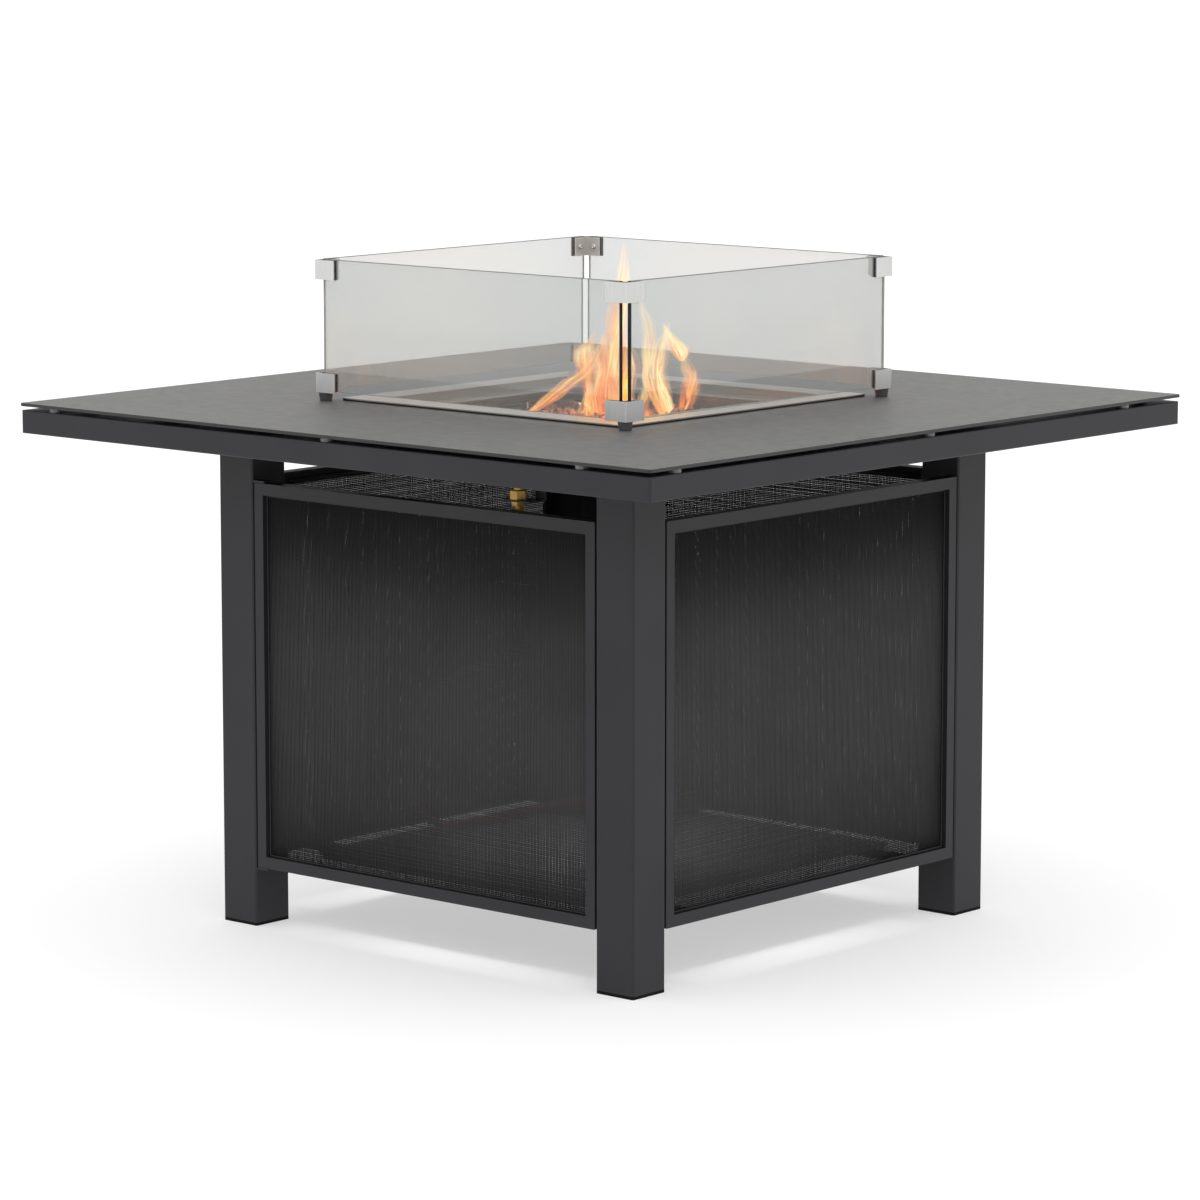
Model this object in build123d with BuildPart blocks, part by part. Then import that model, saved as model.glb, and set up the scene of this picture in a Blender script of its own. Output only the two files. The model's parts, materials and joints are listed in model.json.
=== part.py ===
"""Square gas fire pit table: a frame on four legs with mesh panels round the gas bottle
space, a thin top plate with a drop-in burner, and a glass wind guard that lifts off.

Millimetres. +Z is up, the origin is on the floor at the middle of the table, -Y is the door side.
"""
from build123d import *
from math import cos, pi, radians, sin
import os

os.makedirs("parts", exist_ok=True)

# ---- driving dimensions ---------------------------------------------------------------
TOP_SIZE = 1060.0          # side of the square top plate
TOP_HEIGHT = 678.0         # floor to the upper face of the top plate
PLATE_T = 4.0
BUMPER_T = 5.0             # clear pads that hold the plate off the apron
APRON_SIZE = 1057.0
APRON_H = 30.0
APRON_W = 30.0
APRON_CORNER = 3.0
WALL = 2.0                 # wall of the frame tubes
TUBE_R = 2.0               # rounding of the flat tubes' edges
TUBE_IN_R = 0.8
BASE_SIZE = 702.0          # outside of the four legs
LEG = 60.0
LEG_CORNER = 3.0
CAP_T = 4.0                # foot cap under each leg
CAP_PLUG_H = 16.0          # its plug inside the tube
RAIL_W = 40.0              # rails that carry the apron across the legs
PANEL_H = 500.0
PANEL_Z = 78.0             # floor to the lower edge of the panels
PANEL_D = 18.0             # depth of the folded panel frame
PANEL_BAR = 15.0           # width of its face
PANEL_GAP = 2.5            # between a panel and the leg beside it
PANEL_INSET = 1.0          # panel face behind the leg face
SHEET = 1.5                # folded sheet metal
MESH_DEPTH = 8.0           # mesh behind the panel face
MESH_LAP = 4.0             # mesh past the edge of the opening that it closes
SCREW_X = 220.0            # screws under the panels' lower rails, from the panel's middle
SCREW_DEPTH = 9.0          # the same screws, behind the panel face
SCREW_R = 2.0
SCREW_HOLE_R = 2.1
BEARER_W = 20.0            # bearers under the burner and under the base plate
BURNER_BEARER_H = 10.0
BASE_BEARER_H = 8.0
BASE_PLATE = 530.0
BASE_PLATE_TOP = 89.5
BURNER = 478.0             # outside of the burner surround
BURNER_LAP = 6.0           # the surround's rim over the plate, round the cut-out
BURNER_GAP = 3.0           # between the surround's skirt and the cut-out
RIM_GASKET_T = 2.0         # soft strip between the rim and the plate
FLANGE_W = 44.5            # level rim of the surround
RECESS = 10.0              # rim down to the ledge
PAN = 285.0                # outside of the sunken pan
PAN_FLOOR = 620.0
GUARD = 526.0              # outside of the guard's clips
PANE_L = 500.0
PANE_H = 169.0
PANE_T = 6.0
CLIP_LEG = 34.0
CLIP_H = 25.0
CLIP_T = 2.0
GASKET_T = 1.0
GASKET_SHOW = 1.0          # outer gaskets past the clips' legs; the inner ones stop as far short of them
GUARD_FOOT_H = 11.0
GUARD_FOOT_R = 9.5
PIVOT_DEPTH = 5.5          # door pivots behind the door face
PIVOT_R = 2.5
PIVOT_HOLE_R = 2.55
PIVOT_PIN = 8.0            # reach of each pivot pin into the door frame
PIVOT_CLEAR = 0.5          # between the door frame and its hinge brackets
TONGUE_T = 2.5             # thickness of the hinge brackets

# ---- worked out from those ------------------------------------------------------------
PLATE_Z = TOP_HEIGHT - PLATE_T
APRON_TOP = PLATE_Z - BUMPER_T
APRON_Z = APRON_TOP - APRON_H
LEG_C = (BASE_SIZE - LEG) / 2
FACE = BASE_SIZE / 2 - PANEL_INSET
PANEL_W = BASE_SIZE - 2 * LEG - 2 * PANEL_GAP
PANEL_MID_Z = PANEL_Z + PANEL_H / 2
PANEL_TOP = PANEL_Z + PANEL_H
RIM_TOP = TOP_HEIGHT + RIM_GASKET_T + SHEET
LEDGE_TOP = RIM_TOP - RECESS
GUARD_Z = TOP_HEIGHT + GUARD_FOOT_H
PANE_Z = GUARD_Z + CLIP_T
PANE_OUT = GUARD / 2 - CLIP_T - GASKET_T
CORNERS = {"front_left": (-1, -1), "front_right": (1, -1), "back_right": (1, 1), "back_left": (-1, 1)}
SIDES = {"front": 0, "right": 90, "back": 180, "left": 270}


def write(piece, name):
    """Label a finished builder's part and write its STEP file."""
    piece.part.label = name
    export_step(piece.part, f"parts/{name}.step")


def level(angle, height):
    """Horizontal plane turned so that its -Y faces the given side."""
    turn = radians(angle)
    return Plane(origin=(0, 0, height), x_dir=(cos(turn), sin(turn), 0), z_dir=(0, 0, 1))


def facing(angle, distance):
    """Upright plane of one side, X along the side, Y up, normal pointing outwards."""
    turn = radians(angle)
    out = Vector(sin(turn), -cos(turn), 0)
    return Plane(origin=out * distance, x_dir=(cos(turn), sin(turn), 0), z_dir=out)


# ---- legs and their caps --------------------------------------------------------------
LEG_HOLLOW = LEG - 2 * WALL
LEG_PLUG = LEG_HOLLOW - 1.0
INNER_CORNER = LEG_CORNER - WALL + 0.5

for corner, (sx, sy) in CORNERS.items():
    with BuildPart() as leg:
        with BuildSketch(Plane.XY.offset(CAP_T)):
            with Locations((sx * LEG_C, sy * LEG_C)):
                RectangleRounded(LEG, LEG, LEG_CORNER)
        extrude(amount=APRON_Z - CAP_T)
        with BuildSketch(Plane.XY.offset(CAP_T)):
            with Locations((sx * LEG_C, sy * LEG_C)):
                RectangleRounded(LEG_HOLLOW, LEG_HOLLOW, INNER_CORNER)
        extrude(amount=APRON_Z - CAP_T - 2 * WALL, mode=Mode.SUBTRACT)
    write(leg, f"leg_{corner}")

with BuildPart() as leg_caps:
    with BuildSketch():
        with Locations(*[(sx * LEG_C, sy * LEG_C) for sx, sy in CORNERS.values()]):
            RectangleRounded(LEG, LEG, LEG_CORNER)
    extrude(amount=CAP_T)
    with BuildSketch(Plane.XY.offset(CAP_T)):
        with Locations(*[(sx * LEG_C, sy * LEG_C) for sx, sy in CORNERS.values()]):
            RectangleRounded(LEG_PLUG, LEG_PLUG, INNER_CORNER)
    extrude(amount=CAP_PLUG_H)
write(leg_caps, "leg_caps")

# ---- apron: four mitred tubes ---------------------------------------------------------
for side, angle in SIDES.items():
    half = APRON_SIZE / 2
    with BuildPart() as apron:
        with BuildSketch(facing(angle + 90, -half)):
            with Locations((-half + APRON_W / 2, APRON_Z + APRON_H / 2)):
                RectangleRounded(APRON_W, APRON_H, TUBE_R)
                RectangleRounded(APRON_W - 2 * WALL, APRON_H - 2 * WALL, TUBE_IN_R, mode=Mode.SUBTRACT)
        extrude(amount=APRON_SIZE)
        with BuildSketch(Plane.XY.offset(APRON_Z)):
            RectangleRounded(APRON_SIZE, APRON_SIZE, APRON_CORNER)
        extrude(amount=APRON_H, mode=Mode.INTERSECT)
        with BuildSketch(level(angle, APRON_Z)):
            with BuildLine():
                Polyline((0, 0), (-APRON_SIZE, -APRON_SIZE), (APRON_SIZE, -APRON_SIZE), close=True)
            make_face()
        extrude(amount=APRON_H, mode=Mode.INTERSECT)
    write(apron, f"apron_{side}")

# ---- rails that join the apron to the legs --------------------------------------------
APRON_IN = APRON_SIZE / 2 - APRON_W
RAIL_IN = LEG_C - RAIL_W / 2

for side, sx in {"left": -1, "right": 1}.items():
    with BuildPart() as cross_rail:
        with BuildSketch(Plane.XZ.offset(-APRON_IN)):
            with Locations((sx * LEG_C, APRON_Z + APRON_H / 2)):
                RectangleRounded(RAIL_W, APRON_H, TUBE_R)
                RectangleRounded(RAIL_W - 2 * WALL, APRON_H - 2 * WALL, TUBE_IN_R, mode=Mode.SUBTRACT)
        extrude(amount=2 * APRON_IN)
    write(cross_rail, f"cross_rail_{side}")

for side, sy in {"front": -1, "back": 1}.items():
    with BuildPart() as tie_rail:
        with BuildSketch(Plane.YZ.offset(-RAIL_IN)):
            with Locations((sy * LEG_C, APRON_Z + APRON_H / 2)):
                RectangleRounded(RAIL_W, APRON_H, TUBE_R)
                RectangleRounded(RAIL_W - 2 * WALL, APRON_H - 2 * WALL, TUBE_IN_R, mode=Mode.SUBTRACT)
        extrude(amount=2 * RAIL_IN)
    write(tie_rail, f"tie_rail_{side}")

# ---- bearers under the burner and under the base plate --------------------------------
BASE_BEARER_Z = PANEL_Z + SHEET
BURNER_BEARER_Y = BURNER / 2 - BEARER_W / 2
BASE_BEARER_END = FACE - SHEET - 1.0

for side, sy in {"front": -1, "back": 1}.items():
    with BuildPart() as burner_bearer:
        with BuildSketch(Plane.YZ.offset(-RAIL_IN)):
            with Locations((sy * BURNER_BEARER_Y, APRON_Z + BURNER_BEARER_H / 2)):
                RectangleRounded(BEARER_W, BURNER_BEARER_H, 1)
                Rectangle(BEARER_W - 3, BURNER_BEARER_H - 3, mode=Mode.SUBTRACT)
        extrude(amount=2 * RAIL_IN)
    write(burner_bearer, f"burner_bearer_{side}")

with BuildPart() as base_bearers:
    for sy in (-1, 1):
        with BuildSketch(Plane.YZ.offset(-BASE_BEARER_END)):
            with Locations((sy * SCREW_X, BASE_BEARER_Z + BASE_BEARER_H / 2)):
                RectangleRounded(BEARER_W, BASE_BEARER_H, 1)
                Rectangle(BEARER_W - 3, BASE_BEARER_H - 3, mode=Mode.SUBTRACT)
        extrude(amount=2 * BASE_BEARER_END)
        with Locations((SCREW_DEPTH - FACE, sy * SCREW_X, BASE_BEARER_Z),
                       (FACE - SCREW_DEPTH, sy * SCREW_X, BASE_BEARER_Z)):
            Cylinder(SCREW_HOLE_R, 2 * SHEET + 1, mode=Mode.SUBTRACT)
write(base_bearers, "base_bearers")

with BuildPart() as base_plate:
    with BuildSketch(Plane.XY.offset(BASE_PLATE_TOP - 2)):
        RectangleRounded(BASE_PLATE, BASE_PLATE, 6)
    extrude(amount=2)
    with BuildSketch(Plane.XY.offset(BASE_BEARER_Z)):
        with Locations((0, BASE_PLATE / 2 - 1), (0, 1 - BASE_PLATE / 2)):
            Rectangle(BASE_PLATE - 20, 2)
    extrude(amount=BASE_BEARER_H)
write(base_plate, "base_plate")

# ---- mesh panels: a folded frame with a sheet of mesh behind it -----------------------
PIVOT_X = -PANEL_W / 2 + PANEL_BAR / 2
PIVOT_Y = -FACE + PIVOT_DEPTH

for side, angle in SIDES.items():
    panel = "door" if side == "front" else f"panel_{side}"
    with BuildPart() as panel_frame:
        with BuildSketch(facing(angle, FACE)):
            with Locations((0, PANEL_MID_Z)):
                RectangleRounded(PANEL_W, PANEL_H, 1.5)
                Rectangle(PANEL_W - 2 * PANEL_BAR, PANEL_H - 2 * PANEL_BAR, mode=Mode.SUBTRACT)
        extrude(amount=-PANEL_D)
        with BuildSketch(facing(angle, FACE - SHEET)):
            with Locations((0, PANEL_MID_Z)):
                Rectangle(PANEL_W - 2 * SHEET, PANEL_H - 2 * SHEET)
                Rectangle(PANEL_W - 2 * PANEL_BAR + 2 * SHEET, PANEL_H - 2 * PANEL_BAR + 2 * SHEET,
                          mode=Mode.SUBTRACT)
        extrude(amount=-PANEL_D, mode=Mode.SUBTRACT)
        with BuildSketch(facing(angle, FACE - MESH_DEPTH)):
            with Locations((0, PANEL_MID_Z)):
                Rectangle(PANEL_W - 2 * SHEET, PANEL_H - 2 * SHEET)
        extrude(amount=-PANEL_D, mode=Mode.SUBTRACT)
        with BuildSketch(level(angle, PANEL_Z)):
            with Locations((-SCREW_X, -FACE + SCREW_DEPTH), (SCREW_X, -FACE + SCREW_DEPTH)):
                Circle(SCREW_HOLE_R)
        extrude(amount=SHEET, mode=Mode.SUBTRACT)
        if side == "front":
            with BuildSketch(Plane.XY.offset(PANEL_Z)):
                with Locations((PIVOT_X, PIVOT_Y)):
                    Circle(PIVOT_HOLE_R)
            extrude(amount=SHEET, mode=Mode.SUBTRACT)
            with BuildSketch(Plane.XY.offset(PANEL_TOP - SHEET)):
                with Locations((PIVOT_X, PIVOT_Y)):
                    Circle(PIVOT_HOLE_R)
            extrude(amount=SHEET, mode=Mode.SUBTRACT)
    write(panel_frame, f"{panel}_frame")

    with BuildPart() as panel_mesh:
        with BuildSketch(facing(angle, FACE - MESH_DEPTH)):
            with Locations((0, PANEL_MID_Z)):
                Rectangle(PANEL_W - 2 * PANEL_BAR + 2 * MESH_LAP, PANEL_H - 2 * PANEL_BAR + 2 * MESH_LAP)
        extrude(amount=-SHEET)
    write(panel_mesh, f"{panel}_mesh")


def rail_screws(angles):
    """Pan-head screws up through the lower rails of the panels on the given sides."""
    with BuildPart() as screws:
        for turn in angles:
            for along in (-SCREW_X, SCREW_X):
                place = level(turn, PANEL_Z) * Location((along, -FACE + SCREW_DEPTH, 0))
                with Locations(place):
                    Cylinder(4.5, 2, align=(Align.CENTER, Align.CENTER, Align.MAX))
                    Cylinder(SCREW_R, 6, align=(Align.CENTER, Align.CENTER, Align.MIN))
    return screws


write(rail_screws([90, 180, 270]), "panel_screws")
write(rail_screws([0]), "door_screws")

# ---- door pivots and catch ------------------------------------------------------------
TONGUE_ZS = {PANEL_TOP + PIVOT_CLEAR: PANEL_TOP - PIVOT_PIN,
             PANEL_Z - PIVOT_CLEAR - TONGUE_T: PANEL_Z - PIVOT_CLEAR - TONGUE_T}
TONGUE_W = 19.5
TONGUE_D = 15.0

# each bracket is a tongue fixed to the leg, over or under the door, with a pin into the door
with BuildPart() as hinge_brackets:
    for tongue_z, pin_z in TONGUE_ZS.items():
        with BuildSketch(Plane.XY.offset(tongue_z)):
            with Locations((LEG / 2 - LEG_C + TONGUE_W / 2, PIVOT_Y + 2)):
                RectangleRounded(TONGUE_W, TONGUE_D, 1)
        extrude(amount=TONGUE_T)
        with BuildSketch(Plane.XY.offset(pin_z)):
            with Locations((PIVOT_X, PIVOT_Y)):
                Circle(PIVOT_R)
        extrude(amount=PIVOT_PIN + PIVOT_CLEAR + TONGUE_T)
write(hinge_brackets, "hinge_brackets")

CATCH_Z = PANEL_TOP - 28
with BuildPart() as catch_ball:
    with Locations((PANEL_W / 2, PIVOT_Y, CATCH_Z)):
        Cylinder(2.5, 1.6, rotation=(0, 90, 0), align=(Align.CENTER, Align.CENTER, Align.MIN))
    fillet(catch_ball.edges().sort_by(Axis.X)[-1], 1.2)
write(catch_ball, "door_catch_ball")

with BuildPart() as door_magnet:
    with Locations((LEG_C - LEG / 2, -FACE + PANEL_D + 0.5, CATCH_Z)):
        Box(14, 10, 30, align=(Align.MAX, Align.MIN, Align.CENTER))
    chamfer(door_magnet.edges().filter_by(Axis.Z), 1)
write(door_magnet, "door_magnet")

# ---- top plate and the pads it rests on -----------------------------------------------
CUT_OUT = BURNER - 2 * BURNER_LAP
PAD_R = 8.0
PAD_EDGE = APRON_SIZE / 2 - 10.0
PAD_PLACES = [(along, -PAD_EDGE) for along in (-474, 6, 416)]

with BuildPart() as top_plate:
    with BuildSketch(Plane.XY.offset(PLATE_Z)):
        RectangleRounded(TOP_SIZE, TOP_SIZE, 4)
        RectangleRounded(CUT_OUT, CUT_OUT, 4, mode=Mode.SUBTRACT)
    extrude(amount=PLATE_T)
    chamfer(top_plate.faces().sort_by(Axis.Z)[-1].edges(), 0.6)
write(top_plate, "top_plate")

with BuildPart() as plate_pads:
    for angle in SIDES.values():
        with BuildSketch(level(angle, APRON_TOP)):
            with Locations(*PAD_PLACES):
                Circle(PAD_R)
        extrude(amount=BUMPER_T)
write(plate_pads, "plate_pads")

# ---- burner: surround, sunken pan, ring, lava -----------------------------------------
SKIRT_Z = APRON_Z + BURNER_BEARER_H
SKIRT = CUT_OUT - 2 * BURNER_GAP
OPENING = BURNER - 2 * FLANGE_W

with BuildPart() as rim_gasket:
    with BuildSketch(Plane.XY.offset(TOP_HEIGHT)):
        RectangleRounded(BURNER - 1, BURNER - 1, 2)
        Rectangle(CUT_OUT, CUT_OUT, mode=Mode.SUBTRACT)
    extrude(amount=RIM_GASKET_T)
write(rim_gasket, "rim_gasket")

with BuildPart() as burner_surround:
    with BuildSketch(Plane.XY.offset(RIM_TOP - SHEET)):
        RectangleRounded(BURNER, BURNER, 2)
        Rectangle(OPENING, OPENING, mode=Mode.SUBTRACT)
    extrude(amount=SHEET)
    with BuildSketch(Plane.XY.offset(LEDGE_TOP - SHEET)):
        Rectangle(OPENING + 2 * SHEET, OPENING + 2 * SHEET)
        Rectangle(OPENING, OPENING, mode=Mode.SUBTRACT)
    extrude(amount=RECESS)
    with BuildSketch(Plane.XY.offset(LEDGE_TOP - SHEET)):
        Rectangle(OPENING + 2 * SHEET, OPENING + 2 * SHEET)
        Rectangle(PAN + 1, PAN + 1, mode=Mode.SUBTRACT)
    extrude(amount=SHEET)
    with BuildSketch(Plane.XY.offset(SKIRT_Z)):
        RectangleRounded(SKIRT, SKIRT, 2)
        Rectangle(SKIRT - 2 * SHEET, SKIRT - 2 * SHEET, mode=Mode.SUBTRACT)
    extrude(amount=RIM_TOP - SHEET - SKIRT_Z)
write(burner_surround, "burner_surround")

NECK_R = 9.0               # neck of the burner ring through the pan's floor
PAN_IN = PAN - 2 * SHEET
with BuildPart() as burner_pan:
    with BuildSketch(Plane.XY.offset(PAN_FLOOR - SHEET)):
        RectangleRounded(PAN, PAN, 3)
    extrude(amount=LEDGE_TOP - PAN_FLOOR + 2 * SHEET)
    with BuildSketch(Plane.XY.offset(PAN_FLOOR)):
        RectangleRounded(PAN_IN, PAN_IN, 1.5)
    extrude(amount=LEDGE_TOP - PAN_FLOOR + SHEET, mode=Mode.SUBTRACT)
    with BuildSketch(Plane.XY.offset(LEDGE_TOP)):
        Rectangle(PAN + 16, PAN + 16)
        Rectangle(PAN_IN, PAN_IN, mode=Mode.SUBTRACT)
    extrude(amount=SHEET)
    with BuildSketch(Plane.XY.offset(PAN_FLOOR - SHEET)):
        Circle(NECK_R + 0.2)
    extrude(amount=SHEET, mode=Mode.SUBTRACT)
write(burner_pan, "burner_pan")

RING_R = 90.0
RING_TUBE_R = 7.0
RING_Z = PAN_FLOOR + 11
with BuildPart() as burner_ring:
    with BuildSketch(Plane.XZ):
        with Locations((RING_R, RING_Z)):
            Circle(RING_TUBE_R)
    revolve(axis=Axis.Z)
    with BuildSketch(Plane.YZ.offset(-RING_R)):
        with Locations((0, RING_Z)):
            Circle(RING_TUBE_R - 1)
    extrude(amount=2 * RING_R)
    with BuildSketch(Plane.XY.offset(PAN_FLOOR - SHEET)):
        Circle(NECK_R)
    extrude(amount=RING_Z - PAN_FLOOR + SHEET)
write(burner_ring, "burner_ring")

# the lower layers of lava are one slab; on it lies one broken block per place of a grid,
# each turned and sized differently
LAVA_BED_Z = RING_Z + RING_TUBE_R + 0.3
LAVA_BED_TOP = 645.0
LAVA_STONE_Z = LAVA_BED_TOP + 3.5
LAVA_SIZE = 248.0
LAVA_ROWS = 8
LAVA_PITCH = LAVA_SIZE / LAVA_ROWS
with BuildPart() as lava_stones:
    for row in range(LAVA_ROWS):
        for column in range(LAVA_ROWS):
            seed = 37 * row + 61 * column
            width = 17 + seed % 4
            depth = 16 + seed % 5
            height = 8 + seed % 3
            centre = ((column + 0.5) * LAVA_PITCH - LAVA_SIZE / 2, (row + 0.5) * LAVA_PITCH - LAVA_SIZE / 2)
            place = Location((*centre, LAVA_STONE_Z), (seed % 31 - 15, seed % 27 - 13, 17 * seed % 90))
            with Locations(place):
                Box(width, depth, height)
    chamfer(lava_stones.edges(), 2.5)
    with BuildSketch(Plane.XY.offset(LAVA_BED_Z)):
        RectangleRounded(LAVA_SIZE, LAVA_SIZE, 6)
    extrude(amount=LAVA_BED_TOP - LAVA_BED_Z)
write(lava_stones, "lava_stones")

# a ceramic tube with the electrode's wire standing out of it
with BuildPart() as spark_electrode:
    with Locations((-PAN / 2 + 11, 0, PAN_FLOOR)):
        Cylinder(3.5, 30, align=(Align.CENTER, Align.CENTER, Align.MIN))
        Cylinder(1.2, 44, align=(Align.CENTER, Align.CENTER, Align.MIN))
write(spark_electrode, "spark_electrode")

# ---- gas train ------------------------------------------------------------------------
GAS_Z = 604.0
PIPE_R = 4.0
INJECTOR_R = 11.0
with BuildPart() as gas_injector:
    with BuildSketch(Plane.XY.offset(GAS_Z - 12)):
        Circle(INJECTOR_R)
    extrude(amount=PAN_FLOOR - SHEET - GAS_Z + 12)
    chamfer(gas_injector.faces().sort_by(Axis.Z)[0].edges(), 2)
    with BuildSketch(Plane.YZ.offset(-20)):
        with Locations((0, GAS_Z)):
            RegularPolygon(7, 6)
    extrude(amount=20)
write(gas_injector, "gas_injector")

CONTROL_X = -345.0
VALVE_Y = -30.0
VALVE_BACK = -290.0
STEM_R = 4.0
STEM_BORE_R = 4.05
with BuildPart() as control_plate:
    with BuildSketch(Plane.YZ.offset(CONTROL_X - SHEET)):
        with Locations((0, (PANEL_TOP + APRON_Z) / 2 + 2)):
            Rectangle(150, APRON_Z - PANEL_TOP - 4)
    extrude(amount=SHEET)
    with BuildSketch(Plane.XY.offset(APRON_Z - SHEET)):
        with Locations((CONTROL_X - SHEET, 0)):
            Rectangle(34, 150, align=(Align.MIN, Align.CENTER))
    extrude(amount=SHEET)
    with BuildSketch(Plane.YZ.offset(CONTROL_X - SHEET)):
        with Locations((VALVE_Y, GAS_Z)):
            Circle(STEM_R + 1)
        with Locations((-VALVE_Y, GAS_Z)):
            Circle(9.2)
    extrude(amount=SHEET, mode=Mode.SUBTRACT)
write(control_plate, "control_plate")

with BuildPart() as gas_valve:
    with BuildSketch(Plane.YZ.offset(CONTROL_X)):
        with Locations((VALVE_Y, GAS_Z)):
            Circle(13)
    extrude(amount=12)
    with BuildSketch(Plane.YZ.offset(CONTROL_X + 12)):
        with Locations((VALVE_Y, GAS_Z)):
            RectangleRounded(30, 26, 4)
    extrude(amount=VALVE_BACK - CONTROL_X - 20)
    with BuildSketch(Plane.YZ.offset(VALVE_BACK - 8)):
        with Locations((VALVE_Y, GAS_Z)):
            RegularPolygon(8, 6)
    extrude(amount=8)
    with BuildSketch(Plane.XZ.offset(-VALVE_Y + 15)):
        with Locations((CONTROL_X + 30, GAS_Z)):
            RegularPolygon(8, 6)
    extrude(amount=8)
    with BuildSketch(Plane.YZ.offset(CONTROL_X)):
        with Locations((VALVE_Y, GAS_Z)):
            Circle(STEM_BORE_R)
    extrude(amount=25, mode=Mode.SUBTRACT)
write(gas_valve, "gas_valve")

KNOB_BACK = CONTROL_X - 5.0
KNOB_T = 21.0
with BuildPart() as valve_stem:
    with BuildSketch(Plane.YZ.offset(KNOB_BACK - 15)):
        with Locations((VALVE_Y, GAS_Z)):
            Circle(STEM_R)
    extrude(amount=CONTROL_X + 20 - KNOB_BACK + 15)
write(valve_stem, "valve_stem")

with BuildPart() as control_knob:
    with BuildSketch(Plane.YZ.offset(KNOB_BACK)):
        with Locations((VALVE_Y, GAS_Z)):
            Circle(19)
    extrude(amount=-8)
    with BuildSketch(Plane.YZ.offset(KNOB_BACK - 8)):
        with Locations((VALVE_Y, GAS_Z)):
            Circle(17)
    extrude(amount=-4)
    with BuildSketch(Plane.YZ.offset(KNOB_BACK - 12)):
        with Locations((VALVE_Y, GAS_Z)):
            SlotOverall(33, 11, rotation=90)
    extrude(amount=12 - KNOB_T)
    fillet(control_knob.faces().sort_by(Axis.X)[0].edges(), 1.5)
    with BuildSketch(Plane.YZ.offset(KNOB_BACK)):
        with Locations((VALVE_Y, GAS_Z)):
            Circle(STEM_BORE_R)
    extrude(amount=-16, mode=Mode.SUBTRACT)
write(control_knob, "control_knob")

BUTTON_R = 7.0
with BuildPart() as igniter_body:
    with BuildSketch(Plane.YZ.offset(CONTROL_X - SHEET)):
        with Locations((-VALVE_Y, GAS_Z)):
            Circle(11)
    extrude(amount=-3)
    with BuildSketch(Plane.YZ.offset(CONTROL_X - SHEET)):
        with Locations((-VALVE_Y, GAS_Z)):
            Circle(9)
    extrude(amount=45)
    with BuildSketch(Plane.YZ.offset(CONTROL_X - SHEET - 3)):
        with Locations((-VALVE_Y, GAS_Z)):
            Circle(BUTTON_R + 0.05)
    extrude(amount=20, mode=Mode.SUBTRACT)
write(igniter_body, "igniter_body")

with BuildPart() as igniter_button:
    with BuildSketch(Plane.YZ.offset(CONTROL_X - SHEET - 10)):
        with Locations((-VALVE_Y, GAS_Z)):
            Circle(BUTTON_R)
    extrude(amount=22)
    fillet(igniter_button.faces().sort_by(Axis.X)[0].edges(), 1.5)
write(igniter_button, "igniter_button")

# inlet union on its bracket, just inside the gap above the door
UNION = (137.0, -318.0)
UNION_HOLE_R = 6.7
TONGUE_Z = 588.0
with BuildPart() as inlet_bracket:
    with BuildSketch(Plane.XY.offset(TONGUE_Z)):
        with Locations((UNION[0] - 13, -RAIL_IN + 2)):
            Rectangle(42, 31, align=(Align.MIN, Align.MAX))
        with Locations(UNION):
            Circle(UNION_HOLE_R, mode=Mode.SUBTRACT)
    extrude(amount=2)
    with BuildSketch(Plane.XY.offset(TONGUE_Z)):
        with Locations((UNION[0] + 13, -RAIL_IN)):
            Rectangle(16, 2, align=(Align.MIN, Align.MIN))
    extrude(amount=APRON_TOP - 8 - TONGUE_Z)
write(inlet_bracket, "inlet_bracket")

UNION_TOP = 607.0
HOSE_TOP = 572.0
with BuildPart() as gas_union:
    with BuildSketch(Plane.XY.offset(TONGUE_Z + 2)):
        with Locations(UNION):
            RegularPolygon(11, 6)
    extrude(amount=12)
    chamfer(gas_union.faces().sort_by(Axis.Z)[-1].edges(), 1)
    with BuildSketch(Plane.XY.offset(TONGUE_Z - 6)):
        with Locations(UNION):
            RegularPolygon(9, 6)
    extrude(amount=6)
    with BuildSketch(Plane.XY.offset(HOSE_TOP)):
        with Locations(UNION):
            Circle(6.5)
    extrude(amount=UNION_TOP - HOSE_TOP)
write(gas_union, "gas_union")


def pipe(points, corner_radius, radius):
    """Round bar bent along straight runs and arcs."""
    with BuildPart() as bent:
        with BuildLine() as route:
            FilletPolyline(*points, radius=corner_radius)
        with BuildSketch(Plane(origin=points[0], z_dir=Vector(*points[1]) - Vector(*points[0]))):
            Circle(radius)
        sweep(path=route.wires()[0])
    return bent


PORT = (CONTROL_X + 30, VALVE_Y - 23)
feed_points = [(*UNION, UNION_TOP), (*UNION, 624), (110, -262, 626), (-120, -215, 626),
               (PORT[0], -170, 612), (PORT[0], PORT[1] - 37, GAS_Z), (*PORT, GAS_Z)]
write(pipe(feed_points, 12, PIPE_R), "feed_pipe")
burner_points = [(VALVE_BACK, VALVE_Y, GAS_Z), (-150, VALVE_Y, GAS_Z), (-80, 0, GAS_Z), (-20, 0, GAS_Z)]
write(pipe(burner_points, 40, PIPE_R), "burner_pipe")

# ---- hose from the union to the regulator ---------------------------------------------
HOSE_R = 5.0
HOSE_FLOOR = BASE_PLATE_TOP + HOSE_R + 0.2
REG_INLET_Z = BASE_PLATE_TOP + 15
hose_points = [
    (*UNION, HOSE_TOP), (*UNION, 520), (158, -303, 462), (128, -288, 406), (50, -270, 372),
    (-36, -252, 344), (-112, -232, 295), (-163, -205, 220), (-195, -162, 150), (-215, -95, 104),
    (-222, -12, HOSE_FLOOR), (-214, 74, HOSE_FLOOR + 2), (-180, 150, REG_INLET_Z), (-122, 202, REG_INLET_Z),
]


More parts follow.
